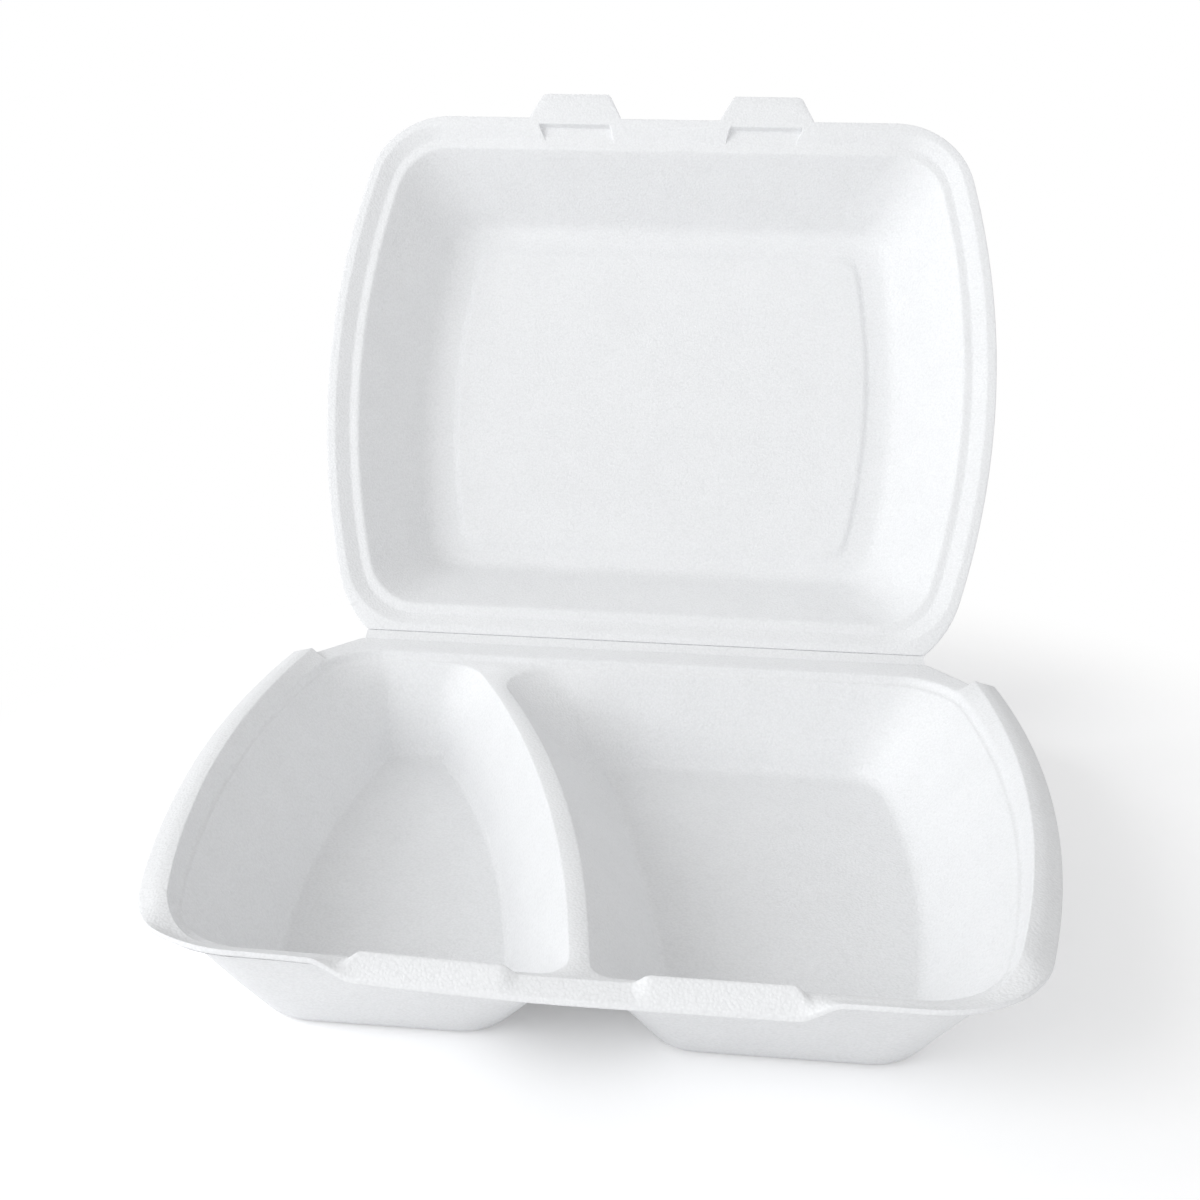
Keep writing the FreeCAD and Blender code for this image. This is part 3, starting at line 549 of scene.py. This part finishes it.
def grain_group():
    """Height and tone of foam skin: closed cells about 0.8 mm across, finer grains between
    them and slow swells, all in the object's own coordinates."""
    g = bpy.data.node_groups.new("foam_grain", "ShaderNodeTree")
    for name in ("Height", "Tone"):
        g.interface.new_socket(name, in_out="OUTPUT", socket_type="NodeSocketFloat")
    out = node(g, "NodeGroupOutput", (900, 0))
    place = node(g, "ShaderNodeTexCoord", (-600, 0))
    cells = node(g, "ShaderNodeTexVoronoi", (-300, 200), Scale=1300.0)
    fine = node(g, "ShaderNodeTexNoise", (-300, -50), Scale=1900.0, Detail=3.0)
    slow = node(g, "ShaderNodeTexNoise", (-300, -300), Scale=70.0, Detail=3.0)
    for tex in (cells, fine, slow):
        g.links.new(place.outputs["Object"], tex.inputs["Vector"])
    from_cell = cells.outputs["Distance"]
    height = times(g, from_cell, -0.6, 0.0, (0, 150))
    height = times(g, fine.outputs["Fac"], 0.5, height, (200, 50))
    tone = times(g, slow.outputs["Fac"], 0.05, 1.0, (0, -250))
    tone = times(g, from_cell, -0.09, tone, (200, -250))
    g.links.new(height, out.inputs["Height"])
    g.links.new(tone, out.inputs["Tone"])
    return g


def foam():
    """White foam skin: the grain's tone on a near white, and its height as bump."""
    made = bpy.data.materials.new("foam")
    made.use_nodes = True
    tree = made.node_tree
    skin = tree.nodes["Principled BSDF"]
    skin.inputs["Roughness"].default_value = 0.55
    skin.inputs["Specular IOR Level"].default_value = 0.4
    grain = node(tree, "ShaderNodeGroup", (-600, 0))
    grain.node_tree = grain_group()
    tint = node(tree, "ShaderNodeMix", (-300, 150), data_type="RGBA", blend_type="MULTIPLY")
    tint.inputs[0].default_value = 1.0
    tint.inputs[6].default_value = (0.853, 0.858, 0.868, 1)
    tree.links.new(grain.outputs["Tone"], tint.inputs[7])
    tree.links.new(tint.outputs[2], skin.inputs["Base Color"])
    bump = node(tree, "ShaderNodeBump", (-300, -200), Strength=0.6, Distance=0.0003)
    tree.links.new(grain.outputs["Height"], bump.inputs["Height"])
    tree.links.new(bump.outputs["Normal"], skin.inputs["Normal"])
    return made


def paper():
    """White floor: near the box it is matt, with a faint glow that only the camera sees, so it
    holds the shadow; further out it goes over to plain white for the camera."""
    made = bpy.data.materials.new("paper")
    made.use_nodes = True
    tree = made.node_tree
    tree.nodes.clear()
    link = tree.links.new
    by_eye = node(tree, "ShaderNodeLightPath", (-400, 300)).outputs["Is Camera Ray"]

    matt = node(tree, "ShaderNodeBsdfDiffuse", (0, 200), Color=(0.98, 0.98, 0.985, 1))
    lift = node(tree, "ShaderNodeEmission", (0, 50), Color=(1, 1, 1, 1))
    link(times(tree, by_eye, 0.17, 0.0, (-200, 100)), lift.inputs["Strength"])
    near = node(tree, "ShaderNodeAddShader", (200, 100))
    link(matt.outputs[0], near.inputs[0])
    link(lift.outputs[0], near.inputs[1])

    place = node(tree, "ShaderNodeTexCoord", (-800, 0))
    middle = node(tree, "ShaderNodeVectorMath", (-600, 0), operation="SUBTRACT")
    middle.inputs[1].default_value = (0.03, -0.02, 0)
    away = node(tree, "ShaderNodeVectorMath", (-400, 0), operation="LENGTH")
    reach = node(tree, "ShaderNodeMapRange", (-200, 0), interpolation_type="SMOOTHSTEP")
    reach.inputs["From Min"].default_value = 0.16
    reach.inputs["From Max"].default_value = 0.275
    link(place.outputs["Object"], middle.inputs[0])
    link(middle.outputs[0], away.inputs[0])
    link(away.outputs["Value"], reach.inputs["Value"])
    share = node(tree, "ShaderNodeMath", (0, 350), operation="MULTIPLY")
    link(reach.outputs["Result"], share.inputs[0])
    link(by_eye, share.inputs[1])

    glow = node(tree, "ShaderNodeEmission", (0, -100), Color=(1, 1, 1, 1), Strength=1.0)
    mixed = node(tree, "ShaderNodeMixShader", (400, 0))
    out = node(tree, "ShaderNodeOutputMaterial", (600, 0))
    link(share.outputs[0], mixed.inputs[0])
    link(near.outputs[0], mixed.inputs[1])
    link(glow.outputs[0], mixed.inputs[2])
    link(mixed.outputs[0], out.inputs["Surface"])
    return made


white_foam = foam()
for thing, part, rides in ((tray, "base_tray", "tray"), (lid, "lid", "cover")):
    thing.data.materials.append(white_foam)
    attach(thing, rides)
    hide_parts(part)
strip.data.materials.clear()
strip.data.materials.append(white_foam)

# The floor, and a world that is plain white to the camera and softer to the box
scene = bpy.context.scene
floor_data = bpy.data.meshes.new("floor")
floor_data.from_pydata([(-4, -3, 0), (4, -3, 0), (4, 6, 0), (-4, 6, 0)], [], [(0, 1, 2, 3)])
floor = bpy.data.objects.new("floor", floor_data)
scene.collection.objects.link(floor)
floor_data.materials.append(paper())

world = bpy.data.worlds.new("room")
scene.world = world
world.use_nodes = True
air = world.node_tree
soft = air.nodes["Background"]
soft.inputs["Color"].default_value = (1, 1, 1, 1)
soft.inputs["Strength"].default_value = 0.62
seen = node(air, "ShaderNodeLightPath", (-400, 300))
bright = node(air, "ShaderNodeBackground", (-200, 200), Color=(1, 1, 1, 1), Strength=1.0)
mix = node(air, "ShaderNodeMixShader", (200, 200))
air.links.new(seen.outputs["Is Camera Ray"], mix.inputs[0])
air.links.new(soft.outputs[0], mix.inputs[1])
air.links.new(bright.outputs[0], mix.inputs[2])
air.links.new(mix.outputs[0], air.nodes["World Output"].inputs["Surface"])


def lamp(name, at, aim_height, power):
    """A square lamp of one metre, turned to a point above the origin."""
    data = bpy.data.lights.new(name, "AREA")
    data.size, data.energy, data.color = 1.0, power, (0.975, 0.99, 1.0)
    made = bpy.data.objects.new(name, data)
    made.location = at
    made.rotation_mode = "QUATERNION"
    made.rotation_quaternion = (Vector(at) - Vector((0, 0, aim_height))).to_track_quat("Z", "Y")
    scene.collection.objects.link(made)


lamp("key", (-1.3, -0.9, 0.9), 0.06, 12.9)
lamp("side_light", (-1.7, 0.2, 0.7), 0.06, 6.8)
lamp("low_front", (0.2, -1.6, 0.4), 0.04, 3.4)

# The camera, fitted to the photograph's outline: what it looks at from how far, its turn, and
# its lens and optical centre in the picture's pixels
PICTURE, LENS_PIXELS, CENTRE_PIXELS = 1200, 1379.254, (604.257, 631.197)
LOOKS_AT = np.array([-14.215, HINGE_BACK + 17.636, DEPTH]) / 1000
DISTANCE, AZIMUTH, ELEVATION, ROLL = 0.49297, 5.146, 19.904, 0.992
camera_data = bpy.data.cameras.new("camera")
camera = bpy.data.objects.new("camera", camera_data)
scene.collection.objects.link(camera)
scene.camera = camera
az, el, roll = (math.radians(d) for d in (AZIMUTH, ELEVATION, ROLL))
fwd = np.array([-math.sin(az) * math.cos(el), math.cos(az) * math.cos(el), -math.sin(el)])
side = np.array([math.cos(az), math.sin(az), 0])
rise = np.cross(side, fwd)
right = math.cos(roll) * side + math.sin(roll) * rise
up = -math.sin(roll) * side + math.cos(roll) * rise
pose = np.eye(4)
pose[:3] = np.column_stack([right, up, -fwd, LOOKS_AT - DISTANCE * fwd])
camera.matrix_world = Matrix(pose.tolist())
camera_data.sensor_width = 36.0
camera_data.lens = 36.0 * LENS_PIXELS / PICTURE
camera_data.shift_x = 0.5 - CENTRE_PIXELS[0] / PICTURE
camera_data.shift_y = CENTRE_PIXELS[1] / PICTURE - 0.5
camera_data.clip_start, camera_data.clip_end = 0.01, 20
scene.view_settings.view_transform = "Standard"
